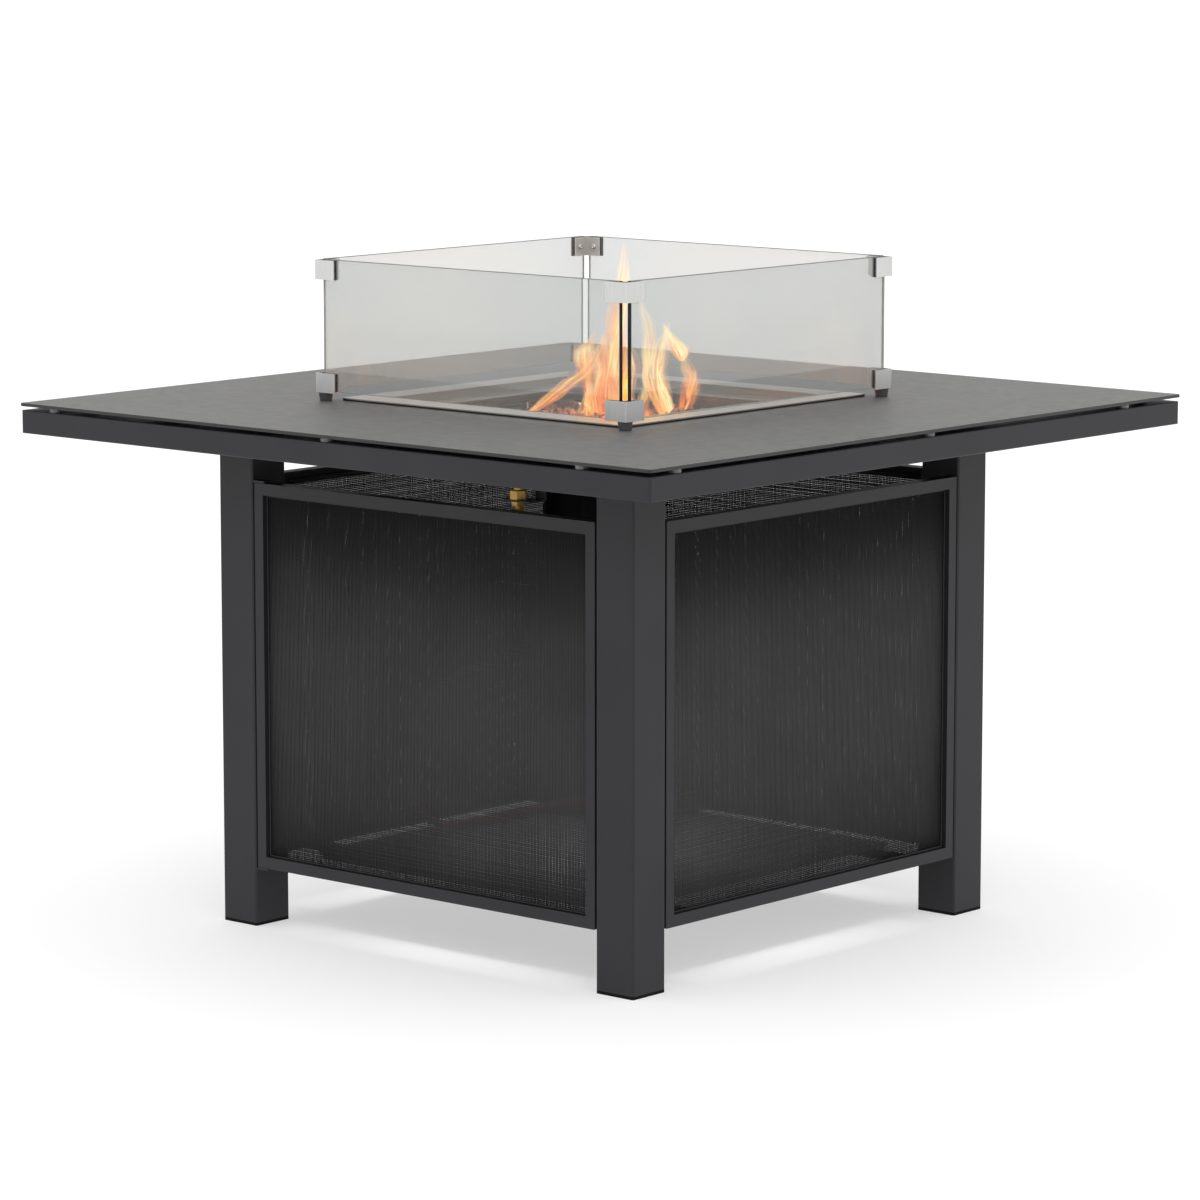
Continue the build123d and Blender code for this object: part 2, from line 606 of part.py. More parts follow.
def corner_radii(points):
    """Arc for each corner of a route: 0.45 of its shorter run over the tangent of half the turn."""
    radii = []
    for before, at, after in zip(points, points[1:], points[2:]):
        run_in = Vector(*at) - Vector(*before)
        run_out = Vector(*after) - Vector(*at)
        half_turn = radians(run_in.get_angle(run_out)) / 2
        radii.append(0.45 * min(run_in.length, run_out.length) * cos(half_turn) / sin(half_turn))
    return radii


hose_radii = corner_radii(hose_points)
with BuildPart() as gas_hose:
    with BuildLine() as hose_route:
        FilletPolyline(*hose_points, radius=hose_radii)
    with BuildSketch(Plane(origin=hose_points[0], z_dir=Vector(*hose_points[1]) - Vector(*hose_points[0]))):
        Circle(HOSE_R)
    sweep(path=hose_route.wires()[0])
hose_length = hose_route.wires()[0].length
hose_volume = pi * HOSE_R ** 2 * hose_length
print("hose radii", [round(r, 1) for r in hose_radii], "length", round(hose_length, 1))
print("hose volume over section times length", round(gas_hose.part.volume / hose_volume, 4))
write(gas_hose, "gas_hose")

HOSE_END = Vector(*hose_points[-1])
HOSE_DIR = (HOSE_END - Vector(*hose_points[-2])).normalized()


def along_hose(distance):
    """Plane square to the hose's last run, a distance beyond its end."""
    return Plane(origin=HOSE_END + HOSE_DIR * distance, z_dir=HOSE_DIR)


REG_R = 27.0
REG_H = 24.0
REG_SPIGOT = 14.0          # from the hose's end to the regulator's body
REG_C = HOSE_END + HOSE_DIR * (REG_SPIGOT + REG_R)
with BuildPart() as gas_regulator:
    with BuildSketch(along_hose(0)):
        Circle(6)
    extrude(amount=20)
    with BuildSketch(Plane.XY.offset(BASE_PLATE_TOP)):
        with Locations((REG_C.X, REG_C.Y)):
            Circle(REG_R)
    extrude(amount=REG_H)
    with BuildSketch(Plane.XY.offset(BASE_PLATE_TOP + REG_H)):
        with Locations((REG_C.X, REG_C.Y)):
            Circle(REG_R - 5)
    extrude(amount=8, taper=12)
write(gas_regulator, "gas_regulator")

NUT_BORE_R = 10.4
NUT_L = 16.0
with BuildPart() as regulator_nut:
    with BuildSketch(along_hose(REG_SPIGOT + 2 * REG_R - 2)):
        RegularPolygon(16, 6)
    extrude(amount=NUT_L + 4)
    with BuildSketch(along_hose(REG_SPIGOT + 2 * REG_R + 2)):
        Circle(NUT_BORE_R)
    extrude(amount=NUT_L, mode=Mode.SUBTRACT)
    with BuildSketch(Plane.XY.offset(BASE_PLATE_TOP - 20)):
        with Locations((REG_C.X, REG_C.Y)):
            Circle(REG_R)
    extrude(amount=60, mode=Mode.SUBTRACT)
write(regulator_nut, "regulator_nut")

# ---- glass wind guard -----------------------------------------------------------------
CLIP_C = GUARD / 2
CLIP_IN = PANE_OUT - PANE_T - GASKET_T - CLIP_T
GUARD_SCREW = CLIP_IN - 13
TOP_CLIP_Z = PANE_Z + PANE_H - 1 - CLIP_H
CLIP_ZS = {"bottom": GUARD_Z, "top": TOP_CLIP_Z}
SCREW_ZS = [z + CLIP_H / 2 for z in CLIP_ZS.values()]

for side, angle in SIDES.items():
    with BuildPart() as pane:
        with BuildSketch(facing(angle, PANE_OUT)):
            with Locations((0, PANE_Z + PANE_H / 2)):
                Rectangle(PANE_L, PANE_H)
            with Locations(*[(sx * GUARD_SCREW, z) for sx in (-1, 1) for z in SCREW_ZS]):
                Circle(3.5, mode=Mode.SUBTRACT)
        extrude(amount=-PANE_T)
        chamfer(pane.edges().filter_by(GeomType.LINE), 0.4)
    write(pane, f"pane_{side}")


def corner_strip(outer, thickness):
    """L-shaped strip round the front right corner, ending level with the clip's legs."""
    end = CLIP_C - CLIP_LEG
    inner = outer - thickness
    Polygon((end, -outer), (outer, -outer), (outer, -end), (inner, -end), (inner, -inner), (end, -inner),
            align=None)


with BuildPart() as corner_clips:
    for clip_z in CLIP_ZS.values():
        for angle in SIDES.values():
            with BuildSketch(level(angle, clip_z)):
                corner_strip(CLIP_C, CLIP_T)
                corner_strip(CLIP_IN + CLIP_T, CLIP_T)
            extrude(amount=CLIP_H)
    for angle in SIDES.values():
        with BuildSketch(level(angle, GUARD_Z)):
            corner_strip(CLIP_C, CLIP_C - CLIP_IN)
        extrude(amount=CLIP_T)
    outer_corners = [edge for edge in corner_clips.edges().filter_by(Axis.Z)
                     if abs(abs(edge.center().X) + abs(edge.center().Y) - 2 * CLIP_C) < 0.01]
    fillet(outer_corners, 1.8)
    for angle in SIDES.values():
        with BuildSketch(facing(angle, CLIP_IN + CLIP_T)):
            with Locations(*[(sx * GUARD_SCREW, z) for sx in (-1, 1) for z in SCREW_ZS]):
                Circle(2.1)
        extrude(amount=-CLIP_T, mode=Mode.SUBTRACT)
write(corner_clips, "corner_clips")

with BuildPart() as clip_gaskets:
    for angle in SIDES.values():
        for distance, show in ((PANE_OUT + GASKET_T, GASKET_SHOW), (PANE_OUT - PANE_T, -GASKET_SHOW)):
            reach = PANE_L / 2 - CLIP_C + CLIP_LEG + show
            with BuildSketch(facing(angle, distance)):
                for z in CLIP_ZS.values():
                    low = z + (CLIP_T if z == GUARD_Z else 0)
                    for sx in (-1, 1):
                        with Locations((sx * (PANE_L - reach) / 2, (low + z + CLIP_H) / 2)):
                            Rectangle(reach, z + CLIP_H - low)
                        with Locations((sx * GUARD_SCREW, z + CLIP_H / 2)):
                            Circle(2.6, mode=Mode.SUBTRACT)
            extrude(amount=-GASKET_T)
write(clip_gaskets, "clip_gaskets")

with BuildPart() as clip_screws:
    for angle in SIDES.values():
        with BuildSketch(facing(angle, CLIP_C - CLIP_T)):
            with Locations(*[(sx * GUARD_SCREW, z) for sx in (-1, 1) for z in SCREW_ZS]):
                Circle(2)
        extrude(amount=CLIP_IN - CLIP_C + CLIP_T)
        with BuildSketch(facing(angle, CLIP_IN)):
            with Locations(*[(sx * GUARD_SCREW, z) for sx in (-1, 1) for z in SCREW_ZS]):
                Circle(3.5)
        extrude(amount=-2)
write(clip_screws, "clip_screws")

GUARD_FOOT_C = CLIP_C - GUARD_FOOT_R
with BuildPart() as guard_feet:
    with BuildSketch(Plane.XY.offset(GUARD_Z)):
        with Locations(*[(sx * GUARD_FOOT_C, sy * GUARD_FOOT_C) for sx, sy in CORNERS.values()]):
            Circle(GUARD_FOOT_R)
    extrude(amount=-GUARD_FOOT_H, taper=8.5)
write(guard_feet, "guard_feet")
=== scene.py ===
"""Looks of a square gas fire pit table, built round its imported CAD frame.

Metres, +Z up, -Y is the door side. CAD nodes keep their shape and place and get materials here. What CAD
holds as plain solids is built in detail: the woven mesh, the lava stones, the hose, the screws and the
guard's feet. The flames and the sleeves on the hose's ends are made here only.
"""
import json
import math
import random

import bmesh
import bpy
from mathutils import Matrix, Vector, noise


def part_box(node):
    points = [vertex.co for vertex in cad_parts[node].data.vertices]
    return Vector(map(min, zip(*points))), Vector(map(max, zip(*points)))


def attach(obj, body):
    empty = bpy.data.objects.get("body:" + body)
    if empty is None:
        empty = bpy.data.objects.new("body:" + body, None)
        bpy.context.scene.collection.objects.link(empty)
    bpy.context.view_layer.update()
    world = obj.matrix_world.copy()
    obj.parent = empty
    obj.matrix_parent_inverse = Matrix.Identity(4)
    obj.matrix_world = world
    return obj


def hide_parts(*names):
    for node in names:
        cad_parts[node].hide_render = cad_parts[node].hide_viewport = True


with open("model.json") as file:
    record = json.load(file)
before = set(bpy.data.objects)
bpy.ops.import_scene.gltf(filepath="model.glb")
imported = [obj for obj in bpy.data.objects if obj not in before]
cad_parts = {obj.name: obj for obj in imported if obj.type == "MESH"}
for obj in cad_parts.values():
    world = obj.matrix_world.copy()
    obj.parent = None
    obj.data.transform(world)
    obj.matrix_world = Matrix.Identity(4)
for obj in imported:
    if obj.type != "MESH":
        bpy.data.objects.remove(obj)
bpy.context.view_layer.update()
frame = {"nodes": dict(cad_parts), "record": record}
NODES = frame["nodes"]
MM = 0.001
UP = Vector((0, 0, 1))
OUTWARD = {"front": Vector((0, -1, 0)), "right": Vector((1, 0, 0)),
           "back": Vector((0, 1, 0)), "left": Vector((-1, 0, 0))}


# ---- camera, light and floor ----------------------------------------------------------
CAMERA_AT = (4.1723, -4.7947, 1.3736)
CAMERA_YAW = 41.085
CAMERA_DOWN = 8.573
LENS_MM = 148.82
SENSOR_MM = 36.0


def set_camera():
    """A long lens a little above the table top, looking at the front right leg."""
    camera = bpy.data.objects.new("camera", bpy.data.cameras.new("camera"))
    camera.data.lens = LENS_MM
    camera.data.sensor_width = SENSOR_MM
    camera.data.clip_end = 200
    camera.location = CAMERA_AT
    camera.rotation_euler = (math.radians(90 - CAMERA_DOWN), 0, math.radians(CAMERA_YAW))
    bpy.context.scene.collection.objects.link(camera)
    bpy.context.scene.camera = camera


def area_light(name, at, towards, size, power, spread=180):
    """A square soft box at a place, turned towards a point; spread is its beam's angle in degrees."""
    light = bpy.data.objects.new(name, bpy.data.lights.new(name, "AREA"))
    light.data.size = size
    light.data.energy = power
    light.data.spread = math.radians(spread)
    light.location = at
    light.rotation_euler = (Vector(towards) - Vector(at)).to_track_quat("-Z", "Y").to_euler()
    bpy.context.scene.collection.objects.link(light)


def set_light():
    """White surroundings, a wide soft light above, soft boxes in front and in the base, the fire's glow."""
    world = bpy.data.worlds.new("studio")
    world.use_nodes = True
    background = world.node_tree.nodes["Background"]
    background.inputs["Color"].default_value = (1.0, 1.0, 1.0, 1)
    background.inputs["Strength"].default_value = 1.0
    bpy.context.scene.world = world
    dome = bpy.data.objects.new("dome", bpy.data.lights.new("dome", "SUN"))
    dome.data.energy = 0.65
    dome.data.angle = math.radians(110)
    dome.rotation_euler = (math.radians(12), math.radians(10), 0)
    bpy.context.scene.collection.objects.link(dome)
    area_light("front_box", at=(3.2, -3.0, 2.4), towards=(0, 0, 0.5), size=1.6, power=11)
    area_light("inside_box", at=(0, 0, 0.56), towards=(0, 0, 0), size=0.3, power=1.3, spread=60)
    glow = bpy.data.objects.new("fire_glow", bpy.data.lights.new("fire_glow", "POINT"))
    glow.data.energy = 3.2
    glow.data.color = (1.0, 0.50, 0.22)
    glow.data.shadow_soft_size = 0.05
    glow.location = (0.02, -0.02, 0.70)
    glow.visible_camera = glow.visible_glossy = glow.visible_transmission = False
    bpy.context.scene.collection.objects.link(glow)
    bpy.context.scene.view_settings.view_transform = "Standard"


FLOOR_HALF = 80.0


def set_floor():
    """A pale floor that runs to the horizon. A faint light of its own keeps the table's shadow soft."""
    mesh = bpy.data.meshes.new("floor")
    corners = [(x * FLOOR_HALF, y * FLOOR_HALF, 0) for x, y in ((-1, -1), (1, -1), (1, 1), (-1, 1))]
    mesh.from_pydata(corners, [], [(0, 1, 2, 3)])
    floor = bpy.data.objects.new("floor", mesh)
    bpy.context.scene.collection.objects.link(floor)
    paint = new_material("pale_floor", Base_Color=(0.6, 0.6, 0.6, 1), Roughness=0.9)
    shader_input(paint, "Specular IOR Level").default_value = 0.1
    shader_input(paint, "Emission Color").default_value = (1.0, 1.0, 1.0, 1)
    shader_input(paint, "Emission Strength").default_value = 0.42
    mesh.materials.append(paint)


# ---- shader helpers -------------------------------------------------------------------
def new_material(name, **sockets):
    """A material whose Principled shader has these plain values; _ in a socket's name stands for a space."""
    made = bpy.data.materials.new(name)
    made.use_nodes = True
    shader = made.node_tree.nodes["Principled BSDF"]
    for socket, value in sockets.items():
        shader.inputs[socket.replace("_", " ")].default_value = value
    return made


def add_node(made, kind, values=(), **properties):
    """A new shader node, with its input values as (socket, value) pairs."""
    node = made.node_tree.nodes.new("ShaderNode" + kind)
    for key, value in properties.items():
        setattr(node, key, value)
    for socket, value in values:
        node.inputs[socket].default_value = value
    return node


def link(made, source, target):
    made.node_tree.links.new(source, target)


def shader_input(made, socket):
    return made.node_tree.nodes["Principled BSDF"].inputs[socket]


def speckle(made, scale, detail=3.0, stretch=(1, 1, 1), contrast=0.5):
    """Noise in the object's own coordinates. stretch above 1 packs it closer along that axis."""
    place = add_node(made, "TexCoord")
    mapping = add_node(made, "Mapping", [("Scale", stretch)])
    texture = add_node(made, "TexNoise", [("Scale", scale), ("Detail", detail), ("Roughness", contrast)])
    link(made, place.outputs["Object"], mapping.inputs["Vector"])
    link(made, mapping.outputs["Vector"], texture.inputs["Vector"])
    return texture.outputs["Fac"]


def ramp(made, factor, stops):
    """Colours along a factor; stops are (position, colour) pairs."""
    node = add_node(made, "ValToRGB")
    elements = node.color_ramp.elements
    for element, (position, colour) in zip(elements, stops):
        element.position = position
        element.color = (*colour, 1)
    for position, colour in stops[2:]:
        elements.new(position).color = (*colour, 1)
    link(made, factor, node.inputs["Fac"])
    return node.outputs["Color"]


def scaled(made, factor, low, high):
    """The factor's 0..1 mapped to low..high."""
    node = add_node(made, "MapRange", [("To Min", low), ("To Max", high)])
    link(made, factor, node.inputs["Value"])
    return node.outputs["Result"]


def calculate(made, operation, *terms):
    """A math node on sockets or plain numbers."""
    node = add_node(made, "Math", operation=operation)
    for slot, term in zip(node.inputs, terms):
        if isinstance(term, (int, float)):
            slot.default_value = term
        else:
            link(made, term, slot)
    return node.outputs["Value"]


def relief(made, height, depth, strength=0.6):
    """Bump on the Principled shader, with its depth in metres."""
    node = add_node(made, "Bump", [("Distance", depth), ("Strength", strength)])
    link(made, height, node.inputs["Height"])
    link(made, node.outputs["Normal"], shader_input(made, "Normal"))


def coated(name, dark, light, rough, grain, depth, patch=9.0, **sockets):
    """Paint, rubber or moulded plastic: two close shades in soft patches and a fine even grain."""
    made = new_material(name, **sockets)
    shades = ramp(made, speckle(made, patch, 5), [(0.3, dark), (0.7, light)])
    link(made, shades, shader_input(made, "Base Color"))
    fine = speckle(made, grain, 2)
    link(made, scaled(made, fine, rough - 0.07, rough + 0.07), shader_input(made, "Roughness"))
    relief(made, fine, depth)
    return made


def brushed(name, dark, light, rough, along, lines=900.0):
    """Metal brushed along one axis: long thin lines in colour, roughness and relief."""
    made = new_material(name, Metallic=1.0)
    stretch = tuple(0.02 if axis == along else 1.0 for axis in "xyz")
    grain = speckle(made, lines, 2, stretch)
    link(made, ramp(made, grain, [(0.3, dark), (0.7, light)]), shader_input(made, "Base Color"))
    link(made, scaled(made, grain, rough - 0.08, rough + 0.08), shader_input(made, "Roughness"))
    relief(made, grain, 0.00002)
    return made


# ---- materials ------------------------------------------------------------------------
PANE_TINT = (0.757, 0.777, 0.772, 1)


def speckled_plate():
    """The printed upper face of the glass top: matt grey with fine speckles."""
    made = new_material("printed_plate")
    fine = speckle(made, 700, 2)
    coarse = speckle(made, 60, 6)
    print_factor = calculate(made, "ADD", calculate(made, "MULTIPLY", fine, 0.65),
                             calculate(made, "MULTIPLY", coarse, 0.35))
    colour = ramp(made, print_factor, [(0.38, (0.0735, 0.0725, 0.0695)), (0.62, (0.136, 0.134, 0.1295))])
    link(made, colour, shader_input(made, "Base Color"))
    link(made, scaled(made, fine, 0.44, 0.58), shader_input(made, "Roughness"))
    shader_input(made, "Specular IOR Level").default_value = 0.42
    relief(made, fine, 0.00005)
    return made


def clear_glass():
    """Toughened glass, faintly grey, that lets light through to what stands behind it."""
    made = new_material("pane_glass", Base_Color=PANE_TINT, Roughness=0.0, Transmission_Weight=0.88, IOR=1.45)
    clear = add_node(made, "BsdfTransparent", [("Color", PANE_TINT)])
    shadow = add_node(made, "LightPath").outputs["Is Shadow Ray"]
    mixed = add_node(made, "MixShader")
    link(made, shadow, mixed.inputs["Fac"])
    link(made, made.node_tree.nodes["Principled BSDF"].outputs["BSDF"], mixed.inputs[1])
    link(made, clear.outputs["BSDF"], mixed.inputs[2])
    link(made, mixed.outputs["Shader"], made.node_tree.nodes["Material Output"].inputs["Surface"])
    return made


def stone():
    """Lava: each stone has its own shade of red brown, with pale glassy pebbles among them."""
    made = new_material("lava_rock")
    shade = add_node(made, "Attribute", attribute_name="stone_shade")
    brown = ramp(made, shade.outputs["Fac"], [(0.0, (0.034, 0.017, 0.012)), (0.5, (0.135, 0.058, 0.036)),
                                              (0.93, (0.29, 0.155, 0.10)), (0.95, (0.86, 0.83, 0.77))])
    pits = speckle(made, 260, 6, contrast=0.7)
    darker = add_node(made, "Mix", data_type="RGBA", blend_type="MULTIPLY")
    darker.inputs["Factor"].default_value = 0.75
    link(made, brown, darker.inputs["A"])
    link(made, ramp(made, pits, [(0.35, (0.35, 0.33, 0.32)), (0.65, (1.25, 1.2, 1.15))]), darker.inputs["B"])
    link(made, darker.outputs["Result"], shader_input(made, "Base Color"))
    link(made, scaled(made, pits, 0.65, 0.95), shader_input(made, "Roughness"))
    relief(made, pits, 0.0012, 0.9)
    return made


def fire():
    """Flame: orange to pale yellow with heat, in soft strands that thin out at a tongue's rims and tip."""
    made = new_material("flame", Base_Color=(0, 0, 0, 1), Roughness=1.0)
    shader_input(made, "Specular IOR Level").default_value = 0.0
    rise = add_node(made, "Attribute", attribute_name="flame_rise").outputs["Fac"]
    aside = add_node(made, "Attribute", attribute_name="flame_side").outputs["Fac"]
    number = add_node(made, "Attribute", attribute_name="flame_number").outputs["Fac"]
    hotter = add_node(made, "Attribute", attribute_name="flame_heat").outputs["Fac"]
    place = add_node(made, "CombineXYZ")
    link(made, calculate(made, "MULTIPLY", aside, 1.5), place.inputs["X"])
    link(made, calculate(made, "MULTIPLY", rise, 1.7), place.inputs["Y"])
    link(made, number, place.inputs["Z"])
    strands = add_node(made, "TexNoise",
                       [("Scale", 1.5), ("Detail", 3.0), ("Roughness", 0.55), ("Distortion", 0.9)])
    link(made, place.outputs["Vector"], strands.inputs["Vector"])
    licks = strands.outputs["Fac"]
    heat = calculate(made, "ADD", calculate(made, "ADD", calculate(made, "MULTIPLY", rise, 0.4), hotter),
                     calculate(made, "MULTIPLY", calculate(made, "SUBTRACT", licks, 0.38), 2.2))
    glow = ramp(made, heat, [(0.0, (1.0, 0.12, 0.012)), (0.25, (1.0, 0.24, 0.035)), (0.52, (1.0, 0.45, 0.10)),
                             (0.85, (1.0, 0.80, 0.38))])
    link(made, glow, shader_input(made, "Emission Color"))
    shader_input(made, "Emission Strength").default_value = 1.8
    rim = calculate(made, "POWER", calculate(made, "ABSOLUTE", aside), 1.3)
    soft_rim = calculate(made, "SUBTRACT", 1.0, rim)
    soft_tip = scaled(made, calculate(made, "POWER", rise, 1.7), 1.0, 0.03)
    cover = add_node(made, "MapRange", [("From Min", 0.34), ("From Max", 0.58), ("To Min", 0.14)])
    link(made, licks, cover.inputs["Value"])
    dense = calculate(made, "MULTIPLY", calculate(made, "MULTIPLY", soft_rim, soft_tip),
                      calculate(made, "ADD", cover.outputs["Result"], hotter))
    link(made, dense, shader_input(made, "Alpha"))
    return made


powder = coated("powder_coat", (0.0132, 0.0127, 0.0151), (0.0168, 0.0162, 0.0192), 0.46, 1500, 0.00004,
                Specular_IOR_Level=0.32)
base_paint = coated("base_paint", (0.24, 0.24, 0.245), (0.32, 0.32, 0.325), 0.5, 1500, 0.00004)
mesh_coat = coated("mesh_coat", (0.0185, 0.0185, 0.020), (0.0265, 0.0265, 0.0285), 0.5, 2500, 0.00003,
                   Specular_IOR_Level=0.34)
black_plastic = coated("black_plastic", (0.008, 0.008, 0.008), (0.013, 0.013, 0.013), 0.42, 2200, 0.00003)
cap_plastic = coated("cap_plastic", (0.003, 0.003, 0.003), (0.005, 0.005, 0.005), 0.7, 1200, 0.00004,
                     Specular_IOR_Level=0.1)
rubber = coated("rubber", (0.006, 0.006, 0.006), (0.011, 0.011, 0.011), 0.65, 1200, 0.00005)
foot_rubber = coated("foot_rubber", (0.05, 0.05, 0.053), (0.075, 0.075, 0.079), 0.4, 900, 0.00005)
hose_rubber = coated("hose_rubber", (0.42, 0.085, 0.025), (0.52, 0.12, 0.035), 0.45, 700, 0.00004, 30)
casting = coated("casting", (0.30, 0.30, 0.31), (0.42, 0.42, 0.43), 0.42, 900, 0.00006, 25, Metallic=1.0)
tube_metal = coated("tube_metal", (0.42, 0.41, 0.39), (0.55, 0.54, 0.52), 0.3, 500, 0.00003, 25, Metallic=1.0)
zinc = coated("zinc", (0.55, 0.55, 0.56), (0.72, 0.72, 0.73), 0.24, 800, 0.00002, 60, Metallic=1.0)
brass = coated("brass", (0.30, 0.17, 0.045), (0.42, 0.26, 0.08), 0.3, 700, 0.00003, 40, Metallic=1.0)
porcelain = coated("porcelain", (0.26, 0.23, 0.20), (0.36, 0.33, 0.29), 0.3, 500, 0.00002)
pad_clear = coated("pad_clear", (0.20, 0.21, 0.205), (0.28, 0.29, 0.285), 0.3, 400, 0.00003,
                   Transmission_Weight=0.5)
black_enamel = coated("black_enamel", (0.005, 0.005, 0.006), (0.009, 0.009, 0.010), 0.16, 300, 0.00001)
# Ends of the panes: green glass. Ends that look to the front, right and up are painted dark, as shade seen
# through the glass. The others are painted pale, as light on their frosted ends.
pane_rim_painted_dark = coated("pane_rim_painted_dark", (0.004, 0.010, 0.007), (0.010, 0.020, 0.014), 0.35, 600, 0.00003, 40)
pane_rim_painted_light = coated("pane_rim_painted_light", (0.30, 0.34, 0.32), (0.42, 0.46, 0.44), 0.3, 600, 0.00003, 40)
clip_steel = brushed("clip_steel", (0.60, 0.60, 0.595), (0.68, 0.68, 0.67), 0.38, "z", 1800)
rim_steel = brushed("rim_steel", (0.33, 0.307, 0.278), (0.43, 0.403, 0.372), 0.30, "x")
pan_steel = brushed("pan_steel", (0.17, 0.155, 0.14), (0.27, 0.25, 0.23), 0.28, "y")
plate = speckled_plate()
glass = clear_glass()
lava = stone()
flame_glow = fire()

FINISHES = {
    "powder_coat": powder, "base_plate_paint": base_paint, "mesh": mesh_coat, "black_plastic": black_plastic,
    "clear_pad": pad_clear, "top_ceramic": plate, "brushed_stainless": rim_steel, "lava": lava,
    "electrode": porcelain, "brass": brass, "zinc_screw": zinc, "valve_casting": casting,
    "gas_pipe": tube_metal, "hose": hose_rubber, "gasket": rubber, "pane_glass": glass,
}


def finish_node(node, *made):
    """Gives a CAD node its materials."""
    NODES[node].data.materials.clear()
    for each in made:
        NODES[node].data.materials.append(each)


def finish_faces(node, choose):
    """Picks each face's material on a CAD node from the direction that the face looks in."""
    for face in NODES[node].data.polygons:
        face.material_index = choose(face.normal)


for row in frame["record"]["subparts"]:
    finish_node(row["node"], FINISHES[row["material_slot"]])
finish_node("leg_caps", cap_plastic)
finish_node("corner_clips", clip_steel)
finish_node("burner_pan", pan_steel)
finish_node("top_plate", plate, black_enamel)
finish_faces("top_plate", lambda normal: 0 if normal.z > 0.95 else 1)
PAINTED_DARK_RIM_SIDE = Vector((1, -1, 1))    # pane ends that look this way get the painted shade, the others the painted light
for side, outward in OUTWARD.items():
    finish_node(f"pane_{side}", glass, pane_rim_painted_dark, pane_rim_painted_light)
    finish_faces(f"pane_{side}", lambda normal, outward=outward:
                 0 if abs(normal.dot(outward)) > 0.9 else 1 if normal.dot(PAINTED_DARK_RIM_SIDE) > 0.3 else 2)


# ---- mesh builders --------------------------------------------------------------------
def piece_from(name, shape, made, body, smooth=True, replaced=()):
    """Turns a bmesh into a piece with one material that rides on a body."""
    bmesh.ops.recalc_face_normals(shape, faces=shape.faces)
    mesh = bpy.data.meshes.new(name)
    shape.to_mesh(mesh)
    shape.free()
    mesh.polygons.foreach_set("use_smooth", [smooth] * len(mesh.polygons))
    mesh.materials.append(made)
    piece = bpy.data.objects.new(name, mesh)
    bpy.context.scene.collection.objects.link(piece)
    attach(piece, body)
    if replaced:
        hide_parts(*replaced)
    return piece


def add_rings(shape, rings):
    """Joins equal rings of points into a skin with a face over each end. Returns the rows of vertices."""
    rows = [[shape.verts.new(point) for point in ring] for ring in rings]
    count = len(rows[0])
    for lower, upper in zip(rows, rows[1:]):
        for i in range(count):
            j = (i + 1) % count
            shape.faces.new((lower[i], lower[j], upper[j], upper[i]))
    shape.faces.new(rows[0][::-1])
    shape.faces.new(rows[-1])
    return rows


def add_turned(shape, profile, base, direction, sides=24):
    """A closed turned body: profile is (radius, height) pairs from its foot to its tip along a direction."""
    turn = Vector(direction).to_track_quat("Z", "Y").to_matrix()
    angles = [2 * math.pi * i / sides for i in range(sides)]
    add_rings(shape, [[Vector(base) + turn @ Vector((radius * math.cos(a), radius * math.sin(a), height))
                       for a in angles] for radius, height in profile])


# ---- woven mesh in the panels ---------------------------------------------------------
MESH_PITCH = 2.4 * MM
WIRE_WIDE = 2.0 * MM
WIRE_THICK = 0.35 * MM
WIRE_STRAY = 0.19 * MM     # how far a wire may lie off the even pitch; two neighbours never meet
# a wire's six-sided section, in shares of its width and thickness
WIRE_SECTION = ((-0.5, 0), (-0.28, -0.5), (0.28, -0.5), (0.5, 0), (0.28, 0.5), (-0.28, 0.5))
MESH_LAP = 4.0 * MM        # mesh past the edge of its opening
SHADOW_CORD_R = 1.2 * MM          # black cord round the mesh: a painted shadow line for the gap between frame and mesh


def add_wires(shape, draw, middle, across, reach, along, length, outward):
    """A row of flat wires that run along one axis for a length and fill a reach across it."""
    count = round(reach / MESH_PITCH)
    for i in range(count):
        at = middle + across * (((i + 0.5) / count - 0.5) * reach + draw.uniform(-1, 1) * WIRE_STRAY)
        add_rings(shape, [[at + along * (end * length / 2) + across * (u * WIRE_WIDE)
                           + outward * (v * WIRE_THICK) for u, v in WIRE_SECTION] for end in (-1, 1)])


def add_loop(shape, corners, through, radius, sides=8):
    """A closed round cord along a flat loop of corners, mitred at each of them."""
    rings = []
    for before, corner, after in zip(corners[-1:] + corners, corners, corners[1:] + corners[:1]):
        inward = ((before - corner).normalized() + (after - corner).normalized())
        rings.append([corner + inward * radius * math.cos(2 * math.pi * i / sides)
                      + through * radius * math.sin(2 * math.pi * i / sides) for i in range(sides)])
    rows = [[shape.verts.new(point) for point in ring] for ring in rings]
    for lower, upper in zip(rows, rows[1:] + rows[:1]):
        for i in range(sides):
            j = (i + 1) % sides
            shape.faces.new((lower[i], lower[j], upper[j], upper[i]))


